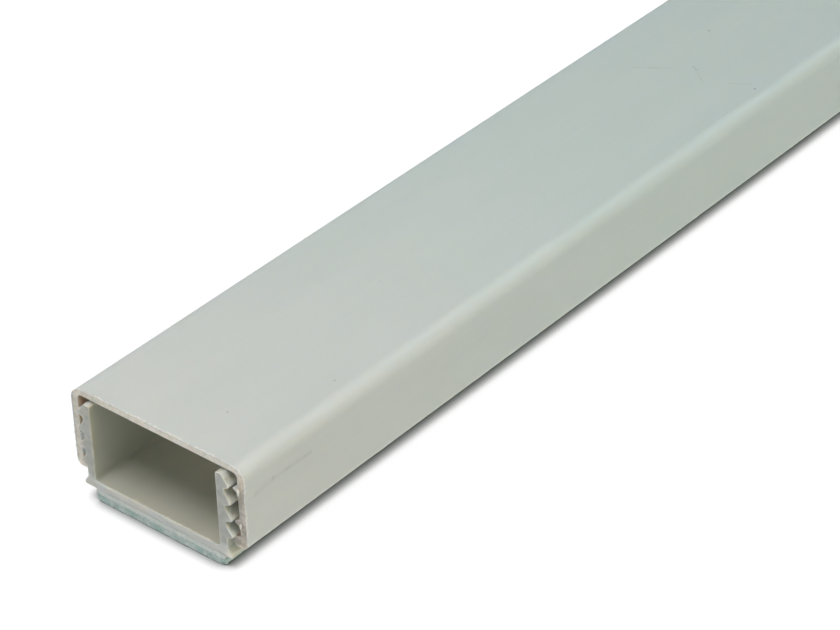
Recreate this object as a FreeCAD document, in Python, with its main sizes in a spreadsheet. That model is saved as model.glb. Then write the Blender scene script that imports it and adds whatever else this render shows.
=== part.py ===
import FreeCAD, Part
import os
import re
import Sketcher

# A self-adhesive cord cover raceway: a channel base with ratchet-toothed walls, a clip-on cover
# over it, and a two-layer foam tape underneath.
# Millimetres.  X runs across the raceway, Y along it, Z up.  Z = 0 is the tape's sticky underside.
# The origin is the middle of the underside.

doc = FreeCAD.newDocument("cord_cover_raceway")

# Driving sizes
sheet = doc.addObject("Spreadsheet::Sheet", "sizes")
SIZES = [
    # whole stick
    ("stick_length", 400),
    ("cover_slip", 0.8),          # how far the cover has slid along the base
    ("base_shift", -0.1),         # the base sits a little to the left inside the cover
    ("raceway_height", 14.45),    # from the underside of the base's floor to the top of the cover
    # clip-on cover
    ("cover_width", 30),
    ("top_thickness", 0.95),
    ("leg_thickness", 1.1),
    ("corner_radius", 2),
    ("inner_corner_radius", 0.8),
    ("foot_radius", 0.85),
    ("foot_clearance", 0.35),     # from the base's flange up to the cover's legs
    # latch ribs inside the cover's legs, and the hook at each leg's lower end
    ("latch_clearance", 0.15),    # under the tooth that a rib or hook catches
    ("rib_catch", 0.2),           # how far a rib reaches in behind the tooth tips
    ("rib_height", 1.1),
    ("rib_nose", 0.25),           # height of a rib's blunt tip
    ("hook_catch", 0.5),          # how far the hook reaches in behind the tooth tips
    ("hook_height", 1.55),        # least height of the hook
    ("hook_nose_radius", 0.3),
    # channel base
    ("leg_clearance", 0.65),      # from the tooth tips to the cover's legs
    ("top_clearance", 0.5),       # from the walls' tops to the cover's top
    ("wall_thickness", 1.27),     # at the roots of the teeth
    ("wall_edge_radius", 0.2),
    ("floor_thickness", 1.2),
    ("floor_corner_radius", 0.5),
    ("flange_reach", 0.65),       # how far the foot flange stands out from the wall
    ("flange_edge", 0.5),         # thickness of the flange at its tip
    ("flange_lower_radius", 0.15),
    ("flange_upper_radius", 0.15),
    ("neck_height", 1.45),        # top of the flange's slope above the floor's underside
    # ratchet teeth on the outside of each wall
    ("tooth_depth", 0.95),
    ("tooth_pitch", 2.62),
    ("tooth_undercut", 0.4),      # the catching face rises this much from root to tip
    ("tooth_land", 0.16),         # flat at the tip
    ("root_flat", 0.64),          # flat at the root, between the catching face and the ramp
    ("lead_height", 1.7),         # slope that starts the cover, at the top of the wall
    ("lead_in", 0.3),             # how far that slope goes in past the roots of the teeth
    ("lead_nose_radius", 0.25),
    # foam tape: a pale pad bonded to the base over a teal adhesive layer
    ("pad_thickness", 0.8),
    ("tape_thickness", 1.2),
    ("tape_margin", 1.7),         # from the flange's tip in to the tape's edge, each side
    ("tape_shift", 0.25),         # the tape is stuck on a little off the base's middle
    ("tape_edge_radius", 0.3),
]
for row, (name, value) in enumerate(SIZES, start=1):
    sheet.set("A%d" % row, name)
    sheet.set("B%d" % row, str(value))
    sheet.setAlias("B%d" % row, name)
doc.recompute()

# Places that several pieces share, as formulas of the driving sizes
FLOOR = "(tape_thickness + pad_thickness)"
TOP = "(%s + raceway_height)" % FLOOR
CEILING = "(%s - top_thickness)" % TOP
LEG_FACE = "(cover_width / 2 - leg_thickness)"
LEG_FOOT = "(%s + neck_height + foot_clearance)" % FLOOR
TIP = "(%s - leg_clearance)" % LEG_FACE
ROOT = "(%s - tooth_depth)" % TIP
FLANGE = "(%s + flange_reach)" % ROOT
WALL_TOP = "(%s - top_clearance)" % CEILING
TOP_TOOTH = "(%s - lead_height)" % WALL_TOP
# As many teeth as the wall has room for above the lowest place for the hook
TEETH = "(floor((%s - %s - hook_height) / tooth_pitch) + 1)" % (TOP_TOOTH, LEG_FOOT)
LAST_TOOTH = "(%s - (%s - 1) * tooth_pitch)" % (TOP_TOOTH, TEETH)


def formula(text):
    """Turns the size names in a formula into references to the spreadsheet."""
    names = "|".join(name for name, _ in SIZES)
    return re.sub(r"\b(%s)\b" % names, r"<<sizes>>.\1", text)


def new_body(label):
    body = doc.addObject("PartDesign::Body", label)
    body.Label = label
    return body


def section_sketch(body, name, corners, mirrored=True):
    """Draws a closed outline in the XZ plane from (x, z) formulas of its right-hand corners.
    When mirrored, the left-hand half is the mirror image and joins it at both ends."""
    sketch = body.newObject("Sketcher::SketchObject", name)
    plane = next(o for o in body.Origin.OriginFeatures if o.Role == "XZ_Plane")
    sketch.AttachmentSupport = [(plane, "")]
    sketch.MapMode = "FlatFace"
    start = [FreeCAD.Vector(10 + 0.1 * i, 5 + 0.7 * (i % 3), 0) for i in range(len(corners))]
    if mirrored:
        start = start + [FreeCAD.Vector(-p.x, p.y, 0) for p in reversed(start)]
    count = len(start)
    for i in range(count):
        sketch.addGeometry(Part.LineSegment(start[i], start[(i + 1) % count]), False)
    for i in range(count):
        sketch.addConstraint(Sketcher.Constraint("Coincident", i, 2, (i + 1) % count, 1))
    for i, (x, z) in enumerate(corners):
        for kind, text, rough in (("DistanceX", x, start[i].x), ("DistanceY", z, start[i].y)):
            index = sketch.addConstraint(Sketcher.Constraint(kind, -1, 1, i, 1, rough))
            sketch.setExpression("Constraints[%d]" % index, formula(text))
    if mirrored:
        for i in range(len(corners)):
            sketch.addConstraint(Sketcher.Constraint("Symmetric", i, 1, count - 1 - i, 1, -2))
    doc.recompute()
    return sketch


def pad_along(body, sketch, name):
    """Extrudes a section to the stick's full length, half each way from the middle."""
    pad = body.newObject("PartDesign::Pad", name)
    pad.Profile = sketch
    pad.SideType = "Symmetric"
    pad.setExpression("Length", formula("stick_length"))
    body.Tip = pad
    doc.recompute()
    return pad


def repeat_down(body, feature, sketch, name, spacing, count):
    """Repeats a feature at a spacing down the raceway's height, and mirrors all to the left."""
    down = body.newObject("PartDesign::LinearPattern", name + "_down")
    down.Direction = (sketch, ["V_Axis"])
    down.Reversed = True
    down.Mode = "Spacing"
    down.setExpression("Offset", formula(spacing))
    down.setExpression("Occurrences", formula(count))
    across = body.newObject("PartDesign::Mirrored", name + "_across")
    across.MirrorPlane = (sketch, ["V_Axis"])
    both = body.newObject("PartDesign::MultiTransform", name)
    both.Originals = [feature]
    both.Transformations = [down, across]
    body.Tip = both
    doc.recompute()
    return both


def long_edge(shape, x, z):
    """Name of the lengthwise edge that passes nearest to a spot of the section."""
    best = None
    for i, edge in enumerate(shape.Edges, start=1):
        if edge.BoundBox.YLength < 10:
            continue
        centre = edge.BoundBox.Center
        gap = abs(centre.x - x) + abs(centre.z - z)
        if best is None or gap < best[0]:
            best = (gap, "Edge%d" % i)
    return best[1]


def round_corner(body, base, name, sketch, corner, radius):
    """Rounds the lengthwise edges made by one corner of a section, right and left."""
    spot = sketch.Geometry[corner].StartPoint
    edges = [long_edge(base.Shape, side * spot.x, spot.y) for side in (1, -1)]
    fillet = body.newObject("PartDesign::Fillet", name)
    fillet.Base = (base, edges)
    fillet.setExpression("Radius", formula(radius))
    body.Tip = fillet
    doc.recompute()
    return fillet


def catch_line(tooth, x):
    """Height, at x, of the face of a rib or hook that catches under a tooth."""
    return "%s + tooth_undercut / tooth_depth * (%s - %s) - latch_clearance" % (tooth, x, TIP)


def make_cover():
    """Inverted channel with a hook at each leg's lower end and latch ribs higher up its legs."""
    body = new_body("cover")
    hook = "(%s - hook_catch)" % TIP
    sketch = section_sketch(body, "cover_section", [
        ("cover_width / 2", TOP),
        ("cover_width / 2", LEG_FOOT),
        (hook, LEG_FOOT),
        (hook, catch_line(LAST_TOOTH, hook)),
        (LEG_FACE, catch_line(LAST_TOOTH, LEG_FACE)),
        (LEG_FACE, CEILING),
    ])
    shell = pad_along(body, sketch, "cover_pad")
    shell = round_corner(body, shell, "top_corners", sketch, 0, "corner_radius")
    shell = round_corner(body, shell, "leg_feet", sketch, 1, "foot_radius")
    shell = round_corner(body, shell, "hook_noses", sketch, 2, "hook_nose_radius")
    round_corner(body, shell, "inner_corners", sketch, 5, "inner_corner_radius")

    # The ribs catch under every second tooth from the top, and start inside the leg.
    rib = "(%s - rib_catch)" % TIP
    inside = "(%s + leg_thickness / 2)" % LEG_FACE
    rib_section = section_sketch(body, "rib_section", [
        (inside, "%s - rib_height" % catch_line(TOP_TOOTH, LEG_FACE)),
        (LEG_FACE, "%s - rib_height" % catch_line(TOP_TOOTH, LEG_FACE)),
        (rib, "%s - rib_nose" % catch_line(TOP_TOOTH, rib)),
        (rib, catch_line(TOP_TOOTH, rib)),
        (LEG_FACE, catch_line(TOP_TOOTH, LEG_FACE)),
        (inside, catch_line(TOP_TOOTH, LEG_FACE)),
    ], mirrored=False)
    upper_rib = pad_along(body, rib_section, "upper_rib")
    repeat_down(body, upper_rib, rib_section, "latch_ribs", "2 * tooth_pitch",
                "floor(%s / 2)" % TEETH)
    body.setExpression("Placement.Base.y", formula("cover_slip / 2"))
    return body


def make_base():
    """Open channel with a flat floor and foot flanges.  The walls are drawn as thick as the teeth
    reach, and the ratchet grooves are then cut into their outer faces."""
    body = new_body("base")
    inner = "(%s - wall_thickness)" % ROOT
    sketch = section_sketch(body, "base_section", [
        (FLANGE, FLOOR),
        (FLANGE, "%s + flange_edge" % FLOOR),
        (ROOT, "%s + neck_height" % FLOOR),
        (ROOT, "%s - tooth_undercut" % LAST_TOOTH),
        (TIP, LAST_TOOTH),
        (TIP, TOP_TOOTH),
        ("%s - lead_in" % ROOT, WALL_TOP),
        (inner, WALL_TOP),
        (inner, "%s + floor_thickness" % FLOOR),
    ])
    wall = pad_along(body, sketch, "base_pad")

    # One groove: a catching face that overhangs, a short root flat and a long ramp.
    # It ends beyond the tooth tips, clear of the wall.
    clear = "(%s + tooth_depth / 2)" % TIP
    ramp_foot = "%s - tooth_pitch + tooth_land" % TOP_TOOTH
    groove_section = section_sketch(body, "groove_section", [
        (ROOT, "%s - tooth_undercut - root_flat" % TOP_TOOTH),
        (ROOT, "%s - tooth_undercut" % TOP_TOOTH),
        (TIP, TOP_TOOTH),
        (clear, TOP_TOOTH),
        (clear, ramp_foot),
        (TIP, ramp_foot),
    ], mirrored=False)
    groove = body.newObject("PartDesign::Pocket", "groove")
    groove.Profile = groove_section
    groove.SideType = "Symmetric"
    groove.setExpression("Length", formula("stick_length + 10"))
    body.Tip = groove
    doc.recompute()
    if groove.Shape.Volume >= wall.Shape.Volume:
        raise RuntimeError("the groove cut nothing")
    shell = repeat_down(body, groove, groove_section, "ratchet_teeth", "tooth_pitch",
                        "%s - 1" % TEETH)

    shell = round_corner(body, shell, "flange_undersides", sketch, 0, "flange_lower_radius")
    shell = round_corner(body, shell, "flange_tips", sketch, 1, "flange_upper_radius")
    shell = round_corner(body, shell, "lead_noses", sketch, 5, "lead_nose_radius")
    shell = round_corner(body, shell, "wall_outer_edges", sketch, 6, "wall_edge_radius")
    shell = round_corner(body, shell, "wall_inner_edges", sketch, 7, "wall_edge_radius")
    round_corner(body, shell, "floor_corners", sketch, 8, "floor_corner_radius")
    body.setExpression("Placement.Base.x", formula("base_shift"))
    body.setExpression("Placement.Base.y", formula("-cover_slip / 2"))
    return body


def make_strip(label, bottom, top):
    """One layer of the foam tape, a flat strip that ends flush with the base."""
    body = new_body(label)
    edge = "%s - tape_margin" % FLANGE
    sketch = section_sketch(body, label + "_section", [(edge, bottom), (edge, top)])
    pad = pad_along(body, sketch, label + "_pad")
    body.setExpression("Placement.Base.x", formula("base_shift + tape_shift"))
    body.setExpression("Placement.Base.y", formula("-cover_slip / 2"))
    return body, sketch, pad


def make_foam_pad():
    """Pale upper layer, between the base's floor and the adhesive layer."""
    return make_strip("foam_pad", "tape_thickness", FLOOR)[0]


def make_foam_tape():
    """Teal adhesive layer, with slightly softened lower edges."""
    body, sketch, pad = make_strip("foam_tape", "0", "tape_thickness")
    round_corner(body, pad, "foam_tape_edges", sketch, 0, "tape_edge_radius")
    return body


bodies = [make_cover(), make_base(), make_foam_pad(), make_foam_tape()]
doc.recompute()

for obj in doc.Objects:
    if "Invalid" in obj.State or "Error" in obj.State:
        raise RuntimeError("%s: %s" % (obj.Name, obj.State))
for body in bodies:
    shape = body.Shape
    if shape.isNull() or not shape.isValid() or len(shape.Solids) != 1:
        raise RuntimeError("%s is not one valid solid" % body.Label)
os.makedirs("parts", exist_ok=True)
for body in bodies:
    shape = body.Shape
    shape.exportStep("parts/%s.step" % body.Label)
    box = shape.BoundBox
    print("%s %.1f mm3, x %.2f %.2f, y %.2f %.2f, z %.2f %.2f" % (
        body.Label, shape.Volume, box.XMin, box.XMax, box.YMin, box.YMax, box.ZMin, box.ZMax))
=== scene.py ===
import math

import bpy
from mathutils import Euler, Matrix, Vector, noise


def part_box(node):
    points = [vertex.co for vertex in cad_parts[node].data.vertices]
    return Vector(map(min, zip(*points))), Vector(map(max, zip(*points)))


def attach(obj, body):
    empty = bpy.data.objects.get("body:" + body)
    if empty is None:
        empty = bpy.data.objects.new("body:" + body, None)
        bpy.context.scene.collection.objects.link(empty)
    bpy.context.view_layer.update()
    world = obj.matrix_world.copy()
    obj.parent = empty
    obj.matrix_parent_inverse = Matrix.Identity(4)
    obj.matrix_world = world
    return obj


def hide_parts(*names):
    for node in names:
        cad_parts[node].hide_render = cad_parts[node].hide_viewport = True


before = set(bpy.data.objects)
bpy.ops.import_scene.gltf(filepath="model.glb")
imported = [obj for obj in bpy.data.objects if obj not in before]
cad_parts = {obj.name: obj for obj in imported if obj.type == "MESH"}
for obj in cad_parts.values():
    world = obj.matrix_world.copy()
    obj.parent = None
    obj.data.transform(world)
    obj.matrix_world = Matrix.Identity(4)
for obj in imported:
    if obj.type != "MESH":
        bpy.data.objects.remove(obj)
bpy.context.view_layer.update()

# Cover: one extruded strip of rigid PVC, an inverted channel that clips over the base.
# It was sawn to length with the base inside it, and has since slid 0.8 mm along it.


def linear(hex_colour):
    """sRGB hex to linear RGBA."""
    out = []
    for i in (1, 3, 5):
        c = int(hex_colour[i:i + 2], 16) / 255
        out.append(c / 12.92 if c <= 0.04045 else ((c + 0.055) / 1.055) ** 2.4)
    return (*out, 1.0)


def new_material(name):
    """An empty node material with its output and one Principled shader."""
    material = bpy.data.materials.new(name)
    material.use_nodes = True
    tree = material.node_tree
    tree.nodes.clear()
    output = tree.nodes.new("ShaderNodeOutputMaterial")
    shader = tree.nodes.new("ShaderNodeBsdfPrincipled")
    tree.links.new(shader.outputs["BSDF"], output.inputs["Surface"])
    return material, tree, shader


def node(tree, kind, settings=None, **inputs):
    """Adds a node. settings are its own properties; inputs are socket values or links.
    An input is named as its socket, with underscores for spaces, or in0, in1 by number."""
    n = tree.nodes.new(kind)
    for key, value in (settings or {}).items():
        setattr(n, key, value)
    for key, value in inputs.items():
        numbered = key[:2] == "in" and key[2:].isdigit()
        socket = n.inputs[int(key[2:]) if numbered else key.replace("_", " ")]
        if isinstance(value, bpy.types.NodeSocket):
            tree.links.new(value, socket)
        else:
            socket.default_value = value
    return n


def scuffed(tree, place, start, stop, width):
    """1 on a mark that runs from start to stop, fading to 0 half its width away, in broken dashes
    of about 1 mm where it is long."""
    start, run = Vector(start), Vector(stop) - Vector(start)
    off = node(tree, "ShaderNodeVectorMath", {"operation": "SUBTRACT"}, in0=place, in1=start)
    along = node(tree, "ShaderNodeVectorMath", {"operation": "DOT_PRODUCT"}, in0=off.outputs[0],
                 in1=run / run.length_squared).outputs["Value"]
    along = node(tree, "ShaderNodeClamp", Value=along).outputs[0]
    foot = node(tree, "ShaderNodeVectorMath", {"operation": "SCALE"}, in0=run, Scale=along)
    far = node(tree, "ShaderNodeVectorMath", {"operation": "DISTANCE"}, in0=off.outputs[0],
               in1=foot.outputs[0]).outputs["Value"]
    dashes = node(tree, "ShaderNodeTexNoise", Vector=place, Scale=900.0, Detail=3.0).outputs["Fac"]
    dashes = node(tree, "ShaderNodeMapRange", Value=dashes, From_Min=0.3, From_Max=0.7,
                  To_Min=0.35 if run.length > 0.001 else 1.0).outputs[0]
    fade = node(tree, "ShaderNodeMapRange", {"interpolation_type": "SMOOTHSTEP"}, Value=far,
                From_Min=width / 2, From_Max=width / 10).outputs[0]
    return node(tree, "ShaderNodeMath", {"operation": "MULTIPLY"}, in0=fade, in1=dashes).outputs[0]


def lit_from_within(shader, depth):
    """Light wanders about this deep through rigid PVC, red the farthest, so thin rims glow."""
    shader.inputs["IOR"].default_value = 1.53
    shader.inputs["Subsurface Weight"].default_value = 1.0
    shader.inputs["Subsurface Radius"].default_value = (1.0, 0.85, 0.65)
    shader.inputs["Subsurface Scale"].default_value = depth


def extruded_pvc(name, skin_colour, drift_colour, sawn_colour, dust_colour, ends, whitening,
                 cut_ramps, scuffs):
    """Satin rigid PVC as it leaves the die, with sawn ends. ends are the Y of its two cuts.
    cut_ramps scale a cut's tone along a direction, on the base's floor as painted light: direction,
    from, to, tone at from, tone at to.
    scuffs are single dark marks: start, stop, width, darkness."""
    material, tree, shader = new_material(name)
    place = node(tree, "ShaderNodeTexCoord").outputs["Object"]
    facing = node(tree, "ShaderNodeNewGeometry").outputs["Normal"]

    # Slow drift of the compound's colour, about 30 mm long and 6 mm wide.
    long_way = node(tree, "ShaderNodeMapping", Vector=place, Scale=(160, 30, 160)).outputs[0]
    drift = node(tree, "ShaderNodeTexNoise", Vector=long_way, Scale=1.0, Detail=3.0).outputs["Fac"]
    drift = node(tree, "ShaderNodeMapRange", Value=drift, From_Min=0.3, From_Max=0.7).outputs[0]
    colour = node(tree, "ShaderNodeMix", {"data_type": "RGBA"}, in0=drift,
                  in6=linear(skin_colour), in7=linear(drift_colour)).outputs[2]

    # Die lines: streaks 0.4 mm across that run the whole length.
    along = node(tree, "ShaderNodeMapping", Vector=place, Scale=(2500, 7, 2500)).outputs[0]
    lines = node(tree, "ShaderNodeTexNoise", Vector=along, Scale=1.0, Detail=2.0).outputs["Fac"]
    tone = node(tree, "ShaderNodeMapRange", Value=lines, From_Min=0.25, From_Max=0.75,
                To_Min=0.989, To_Max=1.007).outputs[0]
    colour = node(tree, "ShaderNodeMix", {"data_type": "RGBA", "blend_type": "MULTIPLY"}, in0=1.0,
                  in6=colour, in7=node(tree, "ShaderNodeCombineColor", Red=tone, Green=tone,
                                       Blue=tone).outputs[0]).outputs[2]

    # A few specks up to 0.35 mm across, about 8 mm apart, some of them faint.
    cell = node(tree, "ShaderNodeTexVoronoi", Vector=place, Scale=190.0)
    pick = node(tree, "ShaderNodeSeparateColor", Color=cell.outputs["Color"])
    dot = node(tree, "ShaderNodeMath", {"operation": "LESS_THAN"}, in0=cell.outputs["Distance"],
               in1=0.035).outputs[0]
    few = node(tree, "ShaderNodeMath", {"operation": "LESS_THAN"}, in0=pick.outputs[0],
               in1=0.4).outputs[0]
    dot = node(tree, "ShaderNodeMath", {"operation": "MULTIPLY"}, in0=dot, in1=few).outputs[0]
    dot = node(tree, "ShaderNodeMath", {"operation": "MULTIPLY"}, in0=dot,
               in1=pick.outputs[1]).outputs[0]
    colour = node(tree, "ShaderNodeMix", {"data_type": "RGBA"}, in0=dot, in6=colour,
                  in7=linear("#8F9088")).outputs[2]

    # Fine handling scratches, 0.1 mm wide and 5 to 15 mm long, slanted to the length.
    slanted = node(tree, "ShaderNodeMapping", Vector=place, Rotation=(0.3, 0.15, 0.35),
                   Scale=(7000, 70, 7000)).outputs[0]
    rub = node(tree, "ShaderNodeTexNoise", Vector=slanted, Scale=1.0, Detail=1.0).outputs["Fac"]
    rub = node(tree, "ShaderNodeMapRange", Value=rub, From_Min=0.72, From_Max=0.78).outputs[0]
    colour = node(tree, "ShaderNodeMix", {"data_type": "RGBA"},
                  in0=node(tree, "ShaderNodeMath", {"operation": "MULTIPLY"}, in0=rub,
                           in1=0.14).outputs[0],
                  in6=colour, in7=linear(dust_colour)).outputs[2]

    # The sawn ends are duller and creamier, with wavy saw marks about 1.5 mm apart.
    across = node(tree, "ShaderNodeSeparateXYZ", Vector=facing).outputs["Y"]
    across = node(tree, "ShaderNodeMath", {"operation": "ABSOLUTE"}, in0=across).outputs[0]
    sawn = node(tree, "ShaderNodeMapRange", Value=across, From_Min=0.6, From_Max=0.9).outputs[0]
    marks = node(tree, "ShaderNodeTexWave", {"wave_type": "BANDS", "bands_direction": "DIAGONAL"},
                 Vector=node(tree, "ShaderNodeMapping", Vector=place,
                             Scale=(0.35, 0, 1.4)).outputs[0],
                 Scale=300.0, Distortion=6.0, Detail=3.0, Detail_Scale=2.0).outputs["Fac"]
    mottle = node(tree, "ShaderNodeTexNoise", Vector=place, Scale=900.0, Detail=4.0).outputs["Fac"]
    marks = node(tree, "ShaderNodeMath", {"operation": "MULTIPLY"}, in0=marks,
                 in1=mottle).outputs[0]
    tone = node(tree, "ShaderNodeMapRange", Value=marks, From_Max=0.7, To_Min=0.95,
                To_Max=1.04).outputs[0]
    side = 1.0
    # Tone ramps over the cuts; on the base's floor the ramp is painted light bounced up from the
    # paper.
    for direction, start, stop, first, last in cut_ramps:
        ramp = node(tree, "ShaderNodeVectorMath", {"operation": "DOT_PRODUCT"}, in0=place,
                    in1=direction).outputs["Value"]
        ramp = node(tree, "ShaderNodeMapRange", Value=ramp, From_Min=start, From_Max=stop,
                    To_Min=first, To_Max=last).outputs[0]
        side = node(tree, "ShaderNodeMath", {"operation": "MULTIPLY"}, in0=ramp,
                    in1=side).outputs[0]
    tone = node(tree, "ShaderNodeMath", {"operation": "MULTIPLY"}, in0=tone, in1=side).outputs[0]
    cut = node(tree, "ShaderNodeMix", {"data_type": "RGBA", "blend_type": "MULTIPLY"}, in0=1.0,
               in6=linear(sawn_colour), in7=node(tree, "ShaderNodeCombineColor", Red=tone,
                                                 Green=tone, Blue=tone).outputs[0]).outputs[2]
    colour = node(tree, "ShaderNodeMix", {"data_type": "RGBA"}, in0=sawn, in6=colour,
                  in7=cut).outputs[2]

    # Single dark marks: scuffs from handling, specks of burnt compound, a dark mark on a cut.
    for start, stop, width, darkness in scuffs:
        mark = scuffed(tree, place, start, stop, width)
        mark = node(tree, "ShaderNodeMath", {"operation": "MULTIPLY"}, in0=mark,
                    in1=darkness).outputs[0]
        colour = node(tree, "ShaderNodeMix", {"data_type": "RGBA"}, in0=mark, in6=colour,
                      in7=linear("#77786F")).outputs[2]

    # The saw's heat and teeth left the rims of the cuts whitened in patches about 1 mm long.
    y = node(tree, "ShaderNodeSeparateXYZ", Vector=place).outputs["Y"]
    middle, half = (ends[0] + ends[1]) / 2, (ends[1] - ends[0]) / 2
    out = node(tree, "ShaderNodeMath", {"operation": "SUBTRACT"}, in0=y, in1=middle).outputs[0]
    out = node(tree, "ShaderNodeMath", {"operation": "ABSOLUTE"}, in0=out).outputs[0]
    reach = node(tree, "ShaderNodeTexNoise", Vector=place, Scale=1100.0, Detail=3.0).outputs["Fac"]
    limit = node(tree, "ShaderNodeMapRange", Value=reach, From_Min=0.35, From_Max=0.75,
                 To_Min=half + 0.00005, To_Max=half - 0.00045).outputs[0]
    near_end = node(tree, "ShaderNodeMath", {"operation": "GREATER_THAN"}, in0=out,
                    in1=limit).outputs[0]
    softened = node(tree, "ShaderNodeBevel", {"samples": 6}, Radius=0.00022).outputs["Normal"]
    edge = node(tree, "ShaderNodeVectorMath", {"operation": "DOT_PRODUCT"}, in0=softened,
                in1=facing).outputs["Value"]
    edge = node(tree, "ShaderNodeMapRange", Value=edge, From_Min=0.999, From_Max=0.93).outputs[0]
    rim = node(tree, "ShaderNodeMath", {"operation": "MAXIMUM"},
               in0=node(tree, "ShaderNodeMath", {"operation": "MULTIPLY"}, in0=edge,
                        in1=sawn).outputs[0],
               in1=node(tree, "ShaderNodeMath", {"operation": "MULTIPLY"}, in0=near_end,
                        in1=0.8).outputs[0]).outputs[0]
    patchy = node(tree, "ShaderNodeMapRange", Value=reach, From_Min=0.4, From_Max=0.6,
                  To_Min=0.1, To_Max=1.0).outputs[0]
    rim = node(tree, "ShaderNodeMath", {"operation": "MULTIPLY", "use_clamp": True}, in0=rim,
               in1=patchy).outputs[0]
    rim = node(tree, "ShaderNodeMath", {"operation": "MULTIPLY"}, in0=rim, in1=whitening).outputs[0]
    rim = node(tree, "ShaderNodeMath", {"operation": "MULTIPLY", "use_clamp": True}, in0=rim,
               in1=side).outputs[0]
    colour = node(tree, "ShaderNodeMix", {"data_type": "RGBA"}, in0=rim, in6=colour,
                  in7=linear(dust_colour)).outputs[2]
    tree.links.new(colour, shader.inputs["Base Color"])

    # Satin skin with a faint orange peel, 0.3 mm grain; the cuts are matt.
    peel = node(tree, "ShaderNodeTexNoise", Vector=place, Scale=3200.0, Detail=2.0).outputs["Fac"]
    gloss = node(tree, "ShaderNodeMapRange", Value=peel, From_Min=0.3, From_Max=0.7, To_Min=0.43,
                 To_Max=0.54).outputs[0]
    rough = node(tree, "ShaderNodeMix", {"data_type": "FLOAT"}, in0=sawn, in2=gloss,
                 in3=0.8).outputs[0]
    tree.links.new(rough, shader.inputs["Roughness"])
    height = node(tree, "ShaderNodeMath", {"operation": "MULTIPLY_ADD"}, in0=lines, in1=0.9,
                  in2=peel).outputs[0]
    height = node(tree, "ShaderNodeMath", {"operation": "SUBTRACT"}, in0=height, in1=rub).outputs[0]
    skin = node(tree, "ShaderNodeBump", Strength=0.4, Distance=0.000006, Height=height,
                Normal=softened).outputs[0]
    saw = node(tree, "ShaderNodeBump", Strength=0.6, Distance=0.00004, Height=marks,
               Normal=softened).outputs[0]
    normal = node(tree, "ShaderNodeMix", {"data_type": "VECTOR"}, in0=sawn, in4=skin,
                  in5=saw).outputs[1]
    tree.links.new(normal, shader.inputs["Normal"])
    lit_from_within(shader, 0.0018)
    return material


def box_of(piece):
    """The lowest and the highest corner of a CAD piece, to a hundredth of a millimetre."""
    return [[round(v, 5) for v in corner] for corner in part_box(piece)]


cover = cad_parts["cover"]
(_, near_cut, _), (side_face, far_cut, top_face) = box_of("cover")
# The cut of the right leg is darker below its corner, and the left leg's a little.
cover_cut_ramps = (((1.0, 0.0, -0.5), 0.0055, 0.0085, 1.04, 0.56),
                ((1.0, 0.0, 0.0), -0.0135, -0.004, 0.88, 1.0))
# A long scuff on the right side, two specks on the top and faint rubs farther along it.
handling_marks = (
    ((side_face, -0.1976, 0.0116), (side_face, -0.1943, 0.0121), 0.0012, 0.16),
    ((side_face, -0.1943, 0.0121), (side_face, -0.1871, 0.0120), 0.0009, 0.22),
    ((0.0051, -0.1916, top_face), (0.0052, -0.1916, top_face), 0.0004, 0.5),
    ((0.01135, -0.1781, top_face), (0.01140, -0.1780, top_face), 0.00035, 0.6),
    ((-0.0057, -0.0901, top_face), (-0.0012, -0.0870, top_face), 0.0007, 0.16),
    ((0.0011, -0.0845, top_face), (0.0023, -0.0852, top_face), 0.0006, 0.3),
    ((0.0028, -0.0858, top_face), (0.0050, -0.0874, top_face), 0.0005, 0.16),
    ((0.0080, -0.0856, top_face), (0.0111, -0.0836, top_face), 0.0005, 0.16))
# Pale grey PVC, satin from the die, so it shows soft streaks along its length and dull cream ends.
cover_pvc = extruded_pvc("satin_extruded_pvc_cover", skin_colour="#C0C6BF",
                         drift_colour="#BDC4BD", sawn_colour="#D4D1C4", dust_colour="#E8E3D6",
                         ends=(near_cut, far_cut), whitening=1.0, cut_ramps=cover_cut_ramps,
                         scuffs=handling_marks)
# Its inner faces are painted a shade creamier, as painted warm shade where light bounces about
# inside the channel and filters through its walls.
# They are the faces that look towards the section's middle, 9 mm up.
tree = cover_pvc.node_tree
skin_colour = tree.nodes["Principled BSDF"].inputs["Base Color"]
place = node(tree, "ShaderNodeTexCoord").outputs["Object"]
from_core = node(tree, "ShaderNodeVectorMath", {"operation": "SUBTRACT"}, in0=place,
                 in1=(0.0, 0.0, 0.009)).outputs[0]
from_core = node(tree, "ShaderNodeVectorMath", {"operation": "MULTIPLY"}, in0=from_core,
                 in1=(1.0, 0.0, 1.0)).outputs[0]
facing = node(tree, "ShaderNodeNewGeometry").outputs["Normal"]
inner = node(tree, "ShaderNodeVectorMath", {"operation": "DOT_PRODUCT"}, in0=from_core,
             in1=facing).outputs["Value"]
inner = node(tree, "ShaderNodeMapRange", Value=inner, From_Min=-0.001, From_Max=-0.003).outputs[0]
painted_warm_inside = node(tree, "ShaderNodeMix", {"data_type": "RGBA"}, in0=inner,
              in6=skin_colour.links[0].from_socket, in7=linear("#C6BDAC")).outputs[2]
# The last 90 mm are painted a shade warmer towards the near end and the rest a shade cooler:
# painted warm light from over the near end.
along = node(tree, "ShaderNodeSeparateXYZ", Vector=place).outputs["Y"]
near_end_ramp = node(tree, "ShaderNodeMapRange", {"interpolation_type": "SMOOTHSTEP"}, Value=along,
             From_Min=-0.2, From_Max=-0.11).outputs[0]
warm_light_tint = node(tree, "ShaderNodeMix", {"data_type": "RGBA"}, in0=near_end_ramp, in6=(1.04, 1.0, 1.0, 1.0),
            in7=(0.965, 1.0, 1.0, 1.0)).outputs[2]
painted_near_warmth = node(tree, "ShaderNodeMix", {"data_type": "RGBA", "blend_type": "MULTIPLY"}, in0=1.0,
            in6=painted_warm_inside, in7=warm_light_tint).outputs[2]
tree.links.new(painted_near_warmth, skin_colour)
cover.data.materials.clear()
cover.data.materials.append(cover_pvc)


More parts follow.
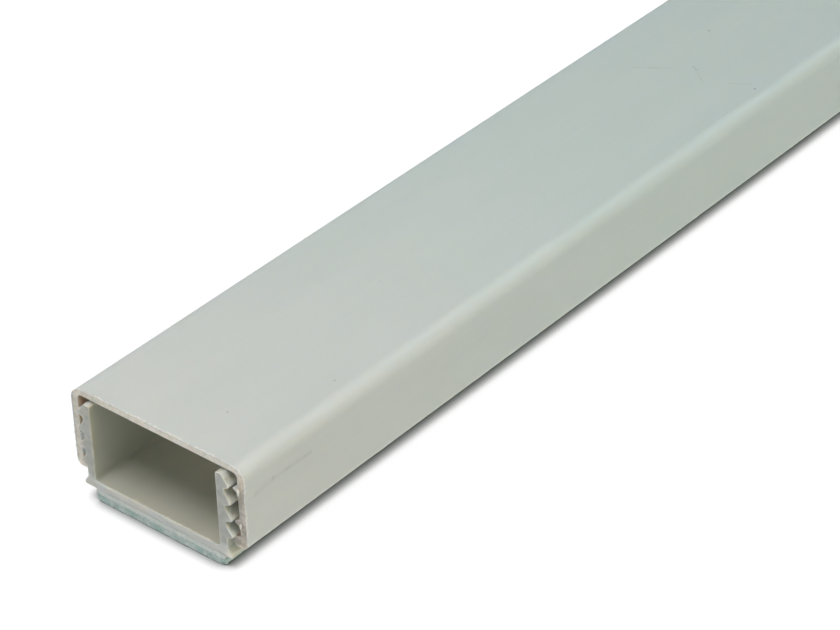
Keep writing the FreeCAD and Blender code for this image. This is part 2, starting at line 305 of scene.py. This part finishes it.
def piece_of(name, points, faces):
    """Puts a piece in the scene. It is shaded smooth, but for caps of more than five corners."""
    mesh = bpy.data.meshes.new(name)
    mesh.from_pydata(points, [], faces)
    mesh.validate()
    mesh.polygons.foreach_set("use_smooth", [len(p.vertices) <= 5 for p in mesh.polygons])
    mesh.update()
    piece = bpy.data.objects.new(name, mesh)
    bpy.context.scene.collection.objects.link(piece)
    return piece


def saw_burr(name, y_cut, outward, seed):
    """The fringe of softened PVC that the saw left along the outer rim of a cut of the cover."""
    # The rim's places and outward directions: up the left leg from just above its hook, round
    # the 2 mm corner, across the top, and the same mirrored.
    foot, corner = 0.0047, 0.002
    flat, shoulder = side_face - corner, top_face - corner
    leg_steps, corner_steps, top_steps = 120, 30, 300
    outline = []
    for k in range(leg_steps):
        outline.append(((-side_face, foot + (shoulder - foot) * k / leg_steps), (-1.0, 0.0)))
    for k in range(corner_steps + 1):
        a = math.pi - math.pi / 2 * k / corner_steps
        n = (math.cos(a), math.sin(a))
        outline.append(((-flat + corner * n[0], shoulder + corner * n[1]), n))
    left_half = list(outline)
    for k in range(1, top_steps):
        outline.append(((-flat + 2 * flat * k / top_steps, top_face), (0.0, 1.0)))
    outline += [((-x, z), (-nx, nz)) for (x, z), (nx, nz) in reversed(left_half)]
    points, faces, sides = [], [], 5
    for k, ((x, z), (nx, nz)) in enumerate(outline):
        # Tufts about 0.4 mm apart, in patches of 2 to 3 mm.
        at = Vector((x / 0.0004, z / 0.0004, seed))
        ragged = max(0.0, noise.noise(at) * 1.1 + noise.noise(at * 2.7) * 0.8 + 0.25)
        patch = max(0.0, min(1.0, 0.55 + 1.6 * noise.noise(at * 0.16)))
        h = 1.35 * ragged * patch
        # It dies out at the legs' feet, and little of it is left on the right leg.
        h *= min(1.0, k / 6, (len(outline) - 1 - k) / 6)
        h *= 0.15 if x > side_face - 0.0004 else 1.0
        # Section of the fringe: y along the stick from the cut, up away from the surface.
        for y, up in ((-0.00006 - 0.00022 * h, -0.00001), (0.0, 0.00002 + 0.00011 * h),
                      (0.00004 + 0.00012 * h, 0.00001 + 0.00005 * h),
                      (0.00002 + 0.00003 * h, -0.00012 - 0.00010 * h), (-0.0001, -0.00015)):
            points.append((x + nx * up, y_cut + outward * y, z + nz * up))
    last = len(points) - sides
    for a in range(0, last, sides):
        b = a + sides
        for j in range(sides):
            k = (j + 1) % sides
            faces.append((a + j, a + k, b + k, b + j))
    faces.append(tuple(range(sides))[::-1])
    faces.append(tuple(range(last, len(points))))
    if outward > 0:
        faces = [face[::-1] for face in faces]
    return piece_of(name, points, faces)


# Softened by the blade and stretched white, so it is paler than the skin and duller.
burr_pvc, tree, shader = new_material("saw_whitened_pvc_burr")
place = node(tree, "ShaderNodeTexCoord").outputs["Object"]
blotch = node(tree, "ShaderNodeTexNoise", Vector=place, Scale=1800.0, Detail=3.0).outputs["Fac"]
blotch = node(tree, "ShaderNodeMapRange", Value=blotch, From_Min=0.35, From_Max=0.65).outputs[0]
blotch = node(tree, "ShaderNodeMix", {"data_type": "RGBA"}, in0=blotch, in6=linear("#F6EFE0"),
              in7=linear("#D6D0C0")).outputs[2]
tree.links.new(blotch, shader.inputs["Base Color"])
grain = node(tree, "ShaderNodeTexNoise", Vector=place, Scale=6000.0, Detail=2.0).outputs["Fac"]
tree.links.new(node(tree, "ShaderNodeBump", Strength=0.5, Distance=0.00002,
                    Height=grain).outputs[0], shader.inputs["Normal"])
shader.inputs["Roughness"].default_value = 0.6
lit_from_within(shader, 0.0008)
for name, y_cut, outward, seed in (("near_saw_burr", near_cut, -1, 3.0),
                                   ("far_saw_burr", far_cut, 1, 8.0)):
    burr = saw_burr(name, y_cut, outward, seed)
    burr.data.materials.append(burr_pvc)
    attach(burr, "root")


def crumbs(name, bits):
    """Lumps of saw swarf. Each bit is its centre, its three half sizes and a seed."""
    rings, spokes = 11, 18
    points, faces = [], []
    for centre, half, seed in bits:
        first = len(points)
        for i in range(1, rings + 1):
            for j in range(spokes):
                a, b = math.pi * i / (rings + 1), 2 * math.pi * j / spokes
                way = Vector((math.sin(a) * math.cos(b), math.sin(a) * math.sin(b), math.cos(a)))
                r = 1.0 + 0.35 * noise.noise(way * 1.6 + Vector((seed, 0, 0)))
                points.append([c + h * w * r for c, h, w in zip(centre, half, way)])
        points += [[c + h * w for c, h, w in zip(centre, half, (0, 0, k))] for k in (1, -1)]
        top, bottom = first + rings * spokes, first + rings * spokes + 1
        last = top - spokes
        for j in range(spokes):
            k = (j + 1) % spokes
            faces.append((top, first + j, first + k))
            faces.append((bottom, last + k, last + j))
            for a in range(first, last, spokes):
                b = a + spokes
                faces.append((a + j, b + j, b + k, a + k))
    return piece_of(name, points, faces)


# Two pale crumbs hang on the ribs inside the right leg, just proud of its cut, as a painted
# highlight where the ribs' cut faces catch the light.
at_cut = near_cut - 0.00012
swarf = crumbs("pale_swarf_as_rib_highlight",
               [((0.01410, at_cut, 0.01268), (0.00018, 0.0002, 0.00055), 1.0),
                ((0.01415, at_cut, 0.00740), (0.00018, 0.0002, 0.00045), 2.0)])
swarf.data.materials.append(burr_pvc)
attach(swarf, "root")

# Base: the same rigid PVC extruded as an open channel, with ratchet teeth down the outside of
# each wall. It is stuck down by the tape and stands 0.8 mm proud of the cover at the near end.
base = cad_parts["base"]
(_, base_near, _), (_, base_far, _) = box_of("base")
# The lowest 1 mm of the cut is painted paler than the rest, as painted light bounced up from the
# paper, and a dark mark lies across the left flange's cut.
painted_floor_bounce = (((0.0, 0.0, 1.0), 0.0031, 0.0042, 1.5, 0.98),)
flange_dark_mark = (((-0.0134, base_near, 0.0027), (-0.0113, base_near, 0.0021), 0.0015, 0.4),)
# The same satin PVC, painted darker than the cover and a little olive, as painted shade for the dim
# inside of the channel; so it also reads apart from the cover, and it is cut cleaner, with faint
# pale rims.
base_pvc = extruded_pvc("satin_extruded_pvc_base", skin_colour="#B5B8AA", drift_colour="#AFB3A5",
                        sawn_colour="#ADB0AB", dust_colour="#D3D1C6",
                        ends=(base_near, base_far), whitening=0.35, cut_ramps=painted_floor_bounce,
                        scuffs=flange_dark_mark)
# The teeth are painted paler towards their tips, more than 12.1 mm out, and so are the outer top
# edges of the walls, more than 14.1 mm up: painted light where they catch it, with the roots left
# in shade.
tree = base_pvc.node_tree
skin_colour = tree.nodes["Principled BSDF"].inputs["Base Color"]
place = node(tree, "ShaderNodeTexCoord").outputs["Object"]
place = node(tree, "ShaderNodeSeparateXYZ", Vector=place)
side = node(tree, "ShaderNodeMath", {"operation": "ABSOLUTE"}, in0=place.outputs["X"]).outputs[0]
tip = node(tree, "ShaderNodeMapRange", Value=side, From_Min=0.0121, From_Max=0.0129).outputs[0]
brow = node(tree, "ShaderNodeMapRange", Value=place.outputs["Z"], From_Min=0.0141,
            From_Max=0.0146).outputs[0]
outer = node(tree, "ShaderNodeMapRange", Value=side, From_Min=0.0111, From_Max=0.0115).outputs[0]
brow = node(tree, "ShaderNodeMath", {"operation": "MULTIPLY"}, in0=brow, in1=outer).outputs[0]
painted_lit_tips = node(tree, "ShaderNodeMath", {"operation": "MAXIMUM"}, in0=tip, in1=brow).outputs[0]
raised = node(tree, "ShaderNodeMapRange", Value=place.outputs["Z"], From_Min=0.0042, From_Max=0.005,
              To_Max=0.85).outputs[0]
painted_lit_tips = node(tree, "ShaderNodeMath", {"operation": "MULTIPLY"}, in0=painted_lit_tips, in1=raised).outputs[0]
facing = node(tree, "ShaderNodeSeparateXYZ",
              Vector=node(tree, "ShaderNodeNewGeometry").outputs["Normal"]).outputs["Y"]
facing = node(tree, "ShaderNodeMath", {"operation": "ABSOLUTE"}, in0=facing).outputs[0]
uncut = node(tree, "ShaderNodeMapRange", Value=facing, From_Min=0.9, From_Max=0.6).outputs[0]
painted_lit_tips = node(tree, "ShaderNodeMath", {"operation": "MULTIPLY"}, in0=painted_lit_tips, in1=uncut).outputs[0]
painted_lit_tips = node(tree, "ShaderNodeMix", {"data_type": "RGBA"}, in0=painted_lit_tips,
              in6=skin_colour.links[0].from_socket, in7=linear("#D2D7D0")).outputs[2]
tree.links.new(painted_lit_tips, skin_colour)
base.data.materials.clear()
base.data.materials.append(base_pvc)
# Two larger crumbs are stuck between the teeth of the left wall, 0.55 mm behind its cut.
in_gap = base_near + 0.00055
swarf = crumbs("swarf_between_teeth",
               [((-0.01325, in_gap, 0.00930), (0.00042, 0.0002, 0.00052), 5.0),
                ((-0.01330, in_gap, 0.00690), (0.00045, 0.0002, 0.00058), 6.0)])
swarf.data.materials.append(base_pvc)
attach(swarf, "root")

# Foam pad: the pale upper layer of the double-sided tape, closed-cell foam bonded to the base's
# floor. It was sawn through with the base, so its ends show torn cells.


def foam_strip(name, x_span, y_span, z_span, columns, levels, shape):
    """A closed strip of foam, finely divided on its cut ends and along its two sides.
    shape(x, y, z, end) gives a point's new place; end is -1 or 1 on a cut end, else 0."""
    (x0, x1), (y0, y1), (z0, z1) = x_span, y_span, z_span
    step = 0.0004
    count = int(round((y1 - y0) / step))
    rows = [y0 + (y1 - y0) * k / count for k in range(count + 1)]
    heights = [z0 + (z1 - z0) * k / levels for k in range(levels + 1)]
    points, faces, rings = [], [], []

    def add(x, y, z, end):
        points.append(shape(x, y, z, end))
        return len(points) - 1

    for y in rows:
        end = -1 if y == rows[0] else 1 if y == rows[-1] else 0
        right = [add(x1, y, z, end) for z in heights]
        left = [add(x0, y, z, end) for z in heights]
        rings.append((right, left))
    for (r0, l0), (r1, l1) in zip(rings[1:-2], rings[2:-1]):
        faces.append((r0[0], l0[0], l1[0], r1[0]))
        faces.append((l0[-1], r0[-1], r1[-1], l1[-1]))
    for (r0, l0), (r1, l1) in zip(rings, rings[1:]):
        for k in range(levels):
            faces.append((r0[k], r1[k], r1[k + 1], r0[k + 1]))
            faces.append((l0[k], l0[k + 1], l1[k + 1], l1[k]))
    for end, outer, inner in ((-1, rings[0], rings[1]), (1, rings[-1], rings[-2])):
        y = rows[0] if end < 0 else rows[-1]
        grid = [outer[1]]
        for c in range(1, columns):
            grid.append([add(x0 + (x1 - x0) * c / columns, y, z, end) for z in heights])
        grid.append(outer[0])
        for a, b in zip(grid, grid[1:]):
            for k in range(levels):
                quad = (a[k], b[k], b[k + 1], a[k + 1])
                faces.append(quad if end < 0 else quad[::-1])
        top = [column[-1] for column in grid] + [inner[0][-1], inner[1][-1]]
        bottom = [column[0] for column in grid] + [inner[0][0], inner[1][0]]
        faces.append(top if end < 0 else top[::-1])
        faces.append(bottom[::-1] if end < 0 else bottom)
    return piece_of(name, points, faces)


def torn(x, y, z, cell, depth, share):
    """How far a torn cell is sunk below the cut at a point: cells of one size, some open."""
    where = Vector((x, y, z)) / cell
    near, spots = noise.voronoi(where)
    if noise.cell(spots[0] * 7.3) > share:
        return 0.0
    return depth * max(0.0, 1.0 - (near[0] / 0.55) ** 2)


def wander(x, y, z, span, amount, seed):
    """A smooth random offset whose bumps are one span apart."""
    return amount * noise.noise(Vector((x, y, z)) / span + Vector((seed, seed * 2.7, seed * 0.3)))


def foam(name, pale, deep, pore_shade, cell_mm, depth):
    """Closed-cell foam, sawn: matt, with its open cells painted as darker dots of painted shade."""
    material, tree, shader = new_material(name)
    place = node(tree, "ShaderNodeTexCoord").outputs["Object"]
    blotch = node(tree, "ShaderNodeTexNoise", Vector=place, Scale=700.0, Detail=3.0).outputs["Fac"]
    blotch = node(tree, "ShaderNodeMapRange", Value=blotch, From_Min=0.35, From_Max=0.65).outputs[0]
    colour = node(tree, "ShaderNodeMix", {"data_type": "RGBA"}, in0=blotch, in6=linear(pale),
                  in7=linear(deep)).outputs[2]
    cells = node(tree, "ShaderNodeTexVoronoi", Vector=place,
                 Scale=1000.0 / cell_mm).outputs["Distance"]
    # The open cells are painted darker: painted shade in the pores.
    pore_shade_mask = node(tree, "ShaderNodeMapRange", Value=cells, From_Min=0.1, From_Max=0.5,
                  To_Min=0.35, To_Max=0.0).outputs[0]
    colour = node(tree, "ShaderNodeMix", {"data_type": "RGBA"}, in0=pore_shade_mask, in6=colour,
                  in7=linear(pore_shade)).outputs[2]
    tree.links.new(colour, shader.inputs["Base Color"])
    bump = node(tree, "ShaderNodeBump", Strength=0.7, Distance=depth, Height=cells).outputs[0]
    tree.links.new(bump, shader.inputs["Normal"])
    shader.inputs["IOR"].default_value = 1.49
    shader.inputs["Roughness"].default_value = 0.92
    return material


def pad_shape(x, y, z, end):
    """Torn cells on the cut ends, with a fine dark seam under the base, and wavy sides."""
    if end:
        # The seam is the top quarter millimetre, shallower near the right-hand corner.
        seam = 0.0002 * max(0.0, (z - 0.00175) / 0.00025) * (1.0 if x < 0.0108 else 0.3)
        y -= end * (seam + torn(x, y, z, cell=0.0003, depth=0.00012, share=0.5)
                    + wander(x, y, z, span=0.002, amount=0.00006, seed=3))
        x += wander(x, y, z, span=0.0008, amount=0.00006, seed=5)
    elif abs(x) > 0.01:
        x -= math.copysign(0.00008 * max(0.0, (z - 0.0017) / 0.0003), x)
        x += wander(x, y, z, span=0.003, amount=0.0001, seed=4)
    return (x, y, z)


# It lies between tape and base with 0.01 mm to spare, so that no faces coincide.
(foam_left, foam_near, pad_foot), (foam_right, foam_far, pad_top) = box_of("foam_pad")
pad = foam_strip("pale_foam_layer", (foam_left, foam_right), (foam_near, foam_far),
                 (pad_foot + 0.00001, pad_top - 0.00001), columns=150, levels=8, shape=pad_shape)
# Pale polyethylene foam, sawn: matt and faintly mottled, with fine pores 0.2 mm apart painted
# darker as painted shade.
pad.data.materials.append(foam("sawn_pale_foam", pale="#DEE3DD", deep="#D3DAD3", pore_shade="#AAB2A9",
                               cell_mm=0.22, depth=0.00005))
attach(pad, "root")
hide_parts("foam_pad")

# Adhesive layer: the teal lower foam of the tape, whose face sticks to the wall. The saw dragged
# it out a little at the right-hand near corner, and its lower edges are pressed round.


def tape_shape(x, y, z, end):
    """Pits on the cut ends and sides, a tuck-in at the lower edges and the dragged corner."""
    low = max(0.0, 1.0 - z / 0.0004)
    corner = max(0.0, 1.0 - (y - foam_near) / 0.0022) if x > 0.0 else 0.0
    if end:
        at_edge = max(0.0, 1.0 - (foam_right - x) / 0.0009) if x > 0.0 else 0.0
        # Many small pits, and a few larger ones from a pattern 3 m off, so that they differ.
        pits = torn(x, y, z, cell=0.00045, depth=0.00018, share=0.4)
        pits += torn(x + 3.0, y, z, cell=0.0011, depth=0.00022, share=0.18)
        y -= end * (0.00016 * low ** 2 + (1.0 - low) * pits
                    + wander(x, y, z, span=0.0022, amount=0.00011, seed=1)
                    + 0.0002 * at_edge ** 2)
        if 0.0001 < z < 0.001:
            z += wander(x, y, z, span=0.0026, amount=0.00006, seed=8)
    if abs(x) > 0.0108:
        inward = 0.00025 * low ** 2 + torn(x, y, z, cell=0.0006, depth=0.00015, share=0.4)
        x -= math.copysign(inward, x) - wander(x, y, z, span=0.004, amount=0.00012, seed=2)
        if x > 0.0:
            bulge = math.cos(max(-1.5, min(1.5, (z - 0.00085) / 0.00045)))
            x += corner ** 2 * (0.00045 * bulge - 0.0004 * low)
    return (x, y, max(z, 0.0))


tape = foam_strip("teal_adhesive_foam", (foam_left, foam_right), (foam_near, foam_far),
                  (0.0, pad_foot), columns=150, levels=10, shape=tape_shape)
# Teal polyethylene foam, sawn: blotched pale where adhesive smeared, with pores 0.3 mm apart
# painted dark as painted shade.
tape.data.materials.append(foam("sawn_teal_foam", pale="#CCD5D1", deep="#ABC3BC", pore_shade="#5C8076",
                                cell_mm=0.3, depth=0.00008))
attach(tape, "root")
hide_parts("foam_tape")

# Studio: white paper that glows white for the camera, except close round the part, where ambient
# occlusion dims the glow into a painted contact shadow. The lamps are soft boxes over the near end,
# behind and at the right, and one long strip under the lid.


def seen_by_camera(tree):
    """1 on the rays that the camera sees by, straight, reflected or through a piece, else 0."""
    path = node(tree, "ShaderNodeLightPath")
    seen = node(tree, "ShaderNodeMath", {"operation": "ADD"}, in0=path.outputs["Is Camera Ray"],
                in1=path.outputs["Is Glossy Ray"]).outputs[0]
    return node(tree, "ShaderNodeMath", {"operation": "ADD", "use_clamp": True}, in0=seen,
                in1=path.outputs["Is Transmission Ray"]).outputs[0]


bpy.ops.mesh.primitive_plane_add(size=6.0, location=(0, 0, 0))
floor = bpy.context.object
floor.name = "studio_floor"
paper, tree, shader = new_material("white_paper_floor")
shader.inputs["Roughness"].default_value = 0.9
shader.inputs["Emission Color"].default_value = (1, 1, 1, 1)
seen = seen_by_camera(tree)
# The camera's glow is cut where ambient occlusion finds the part within 2.4 mm: a painted contact
# shadow.
open_sky = node(tree, "ShaderNodeAmbientOcclusion", {"samples": 16}, Distance=0.0024).outputs["AO"]
open_sky = node(tree, "ShaderNodeMapRange", {"interpolation_type": "SMOOTHSTEP"}, Value=open_sky,
                From_Min=0.2, To_Max=0.94).outputs[0]
lift = node(tree, "ShaderNodeMath", {"operation": "MULTIPLY"}, in0=seen, in1=open_sky).outputs[0]
tree.links.new(lift, shader.inputs["Emission Strength"])
# Where the painted contact shadow is darkest, the paper is painted a little teal, as painted light
# bounced off the tape.
paper_and_painted_shade = node(tree, "ShaderNodeMix", {"data_type": "RGBA"}, in0=open_sky,
             in6=(0.075, 0.098, 0.09, 1.0), in7=(0.11, 0.11, 0.11, 1.0)).outputs[2]
paper_and_painted_shade = node(tree, "ShaderNodeMix", {"data_type": "RGBA"}, in0=seen, in6=(0.88, 0.88, 0.88, 1.0),
             in7=paper_and_painted_shade).outputs[2]
tree.links.new(paper_and_painted_shade, shader.inputs["Base Color"])
floor.data.materials.append(paper)

# A pale room, slightly cool, lights the part; the camera sees it white.
world = bpy.data.worlds.new("studio")
bpy.context.scene.world = world
world.use_nodes = True
tree = world.node_tree
tree.nodes.clear()
output = tree.nodes.new("ShaderNodeOutputWorld")
seen = seen_by_camera(tree)
room = node(tree, "ShaderNodeBackground", Color=(0.85, 1, 1.04, 1), Strength=0.3425).outputs[0]
white = node(tree, "ShaderNodeBackground", Color=(1, 1, 1, 1), Strength=1.0).outputs[0]
both = node(tree, "ShaderNodeMixShader", in0=seen, in1=room, in2=white).outputs[0]
tree.links.new(both, output.inputs["Surface"])


def softbox(name, spot, aim, size, power, colour):
    """A square diffused lamp at spot, turned to aim."""
    lamp = bpy.data.lights.new(name, "AREA")
    lamp.shape = "SQUARE"
    lamp.size = size
    lamp.energy = power
    lamp.color = colour
    box = bpy.data.objects.new(name, lamp)
    bpy.context.scene.collection.objects.link(box)
    box.location = spot
    box.rotation_euler = (Vector(aim) - Vector(spot)).to_track_quat("-Z", "Y").to_euler()


# A small lamp over the near end warms the cut and the first few centimetres of the top.
softbox("near_softbox", spot=(0.0, -0.28, 0.31), aim=(0.0, -0.28, 0.0), size=0.135, power=0.49,
        colour=(1.12, 1.0, 1.01))
# A cool one behind gives the top its even sheen, and a warm one at the right lights the side.
softbox("rear_softbox", spot=(0.25, 0.7, 0.9), aim=(0.0, -0.1, 0.0), size=0.6, power=3.3,
        colour=(0.72, 1.0, 1.25))
softbox("right_softbox", spot=(0.9, -0.1, 0.4), aim=(0.0, -0.15, 0.0), size=0.5, power=3.08,
        colour=(1.0, 0.824, 0.63))
# A long strip under the lid stands for the light that filters through it into the cable way. It
# starts 21 mm inside the near cut, where the light from the opening gives out.
glow_near, glow_far = near_cut + 0.0211, 0.193
middle = (glow_near + glow_far) / 2
softbox("lid_glow", spot=(0.0, middle, 0.0154), aim=(0.0, middle, 0.0), size=0.02, power=0.0247,
        colour=(1.0, 0.9, 0.91))
bpy.data.lights["lid_glow"].shape = "RECTANGLE"
bpy.data.lights["lid_glow"].size_y = glow_far - glow_near
bpy.data.objects["lid_glow"].visible_camera = False
bpy.data.objects["lid_glow"].visible_glossy = False

# Camera, solved from the photograph's own perspective: a long lens 0.4 m from the near end, 40.5
# degrees to the right of the raceway and 34.4 degrees up.
AZIMUTH, ELEVATION, ROLL = 40.52, 34.40, 1.67
turn = Euler((math.radians(90 - ELEVATION), 0, math.radians(AZIMUTH)), "XYZ").to_matrix()
turn = turn @ Euler((0, 0, -math.radians(ROLL)), "XYZ").to_matrix()
lens = bpy.data.cameras.new("photo_camera")
lens.sensor_fit = "HORIZONTAL"
lens.sensor_width = 36.0
lens.lens = 133.4
lens.clip_end = 20
camera = bpy.data.objects.new("photo_camera", lens)
bpy.context.scene.collection.objects.link(camera)
camera.matrix_world = turn.to_4x4()
camera.location = (0.2313, -0.4181, 0.2490)
bpy.context.scene.camera = camera
bpy.context.scene.view_settings.view_transform = "Standard"
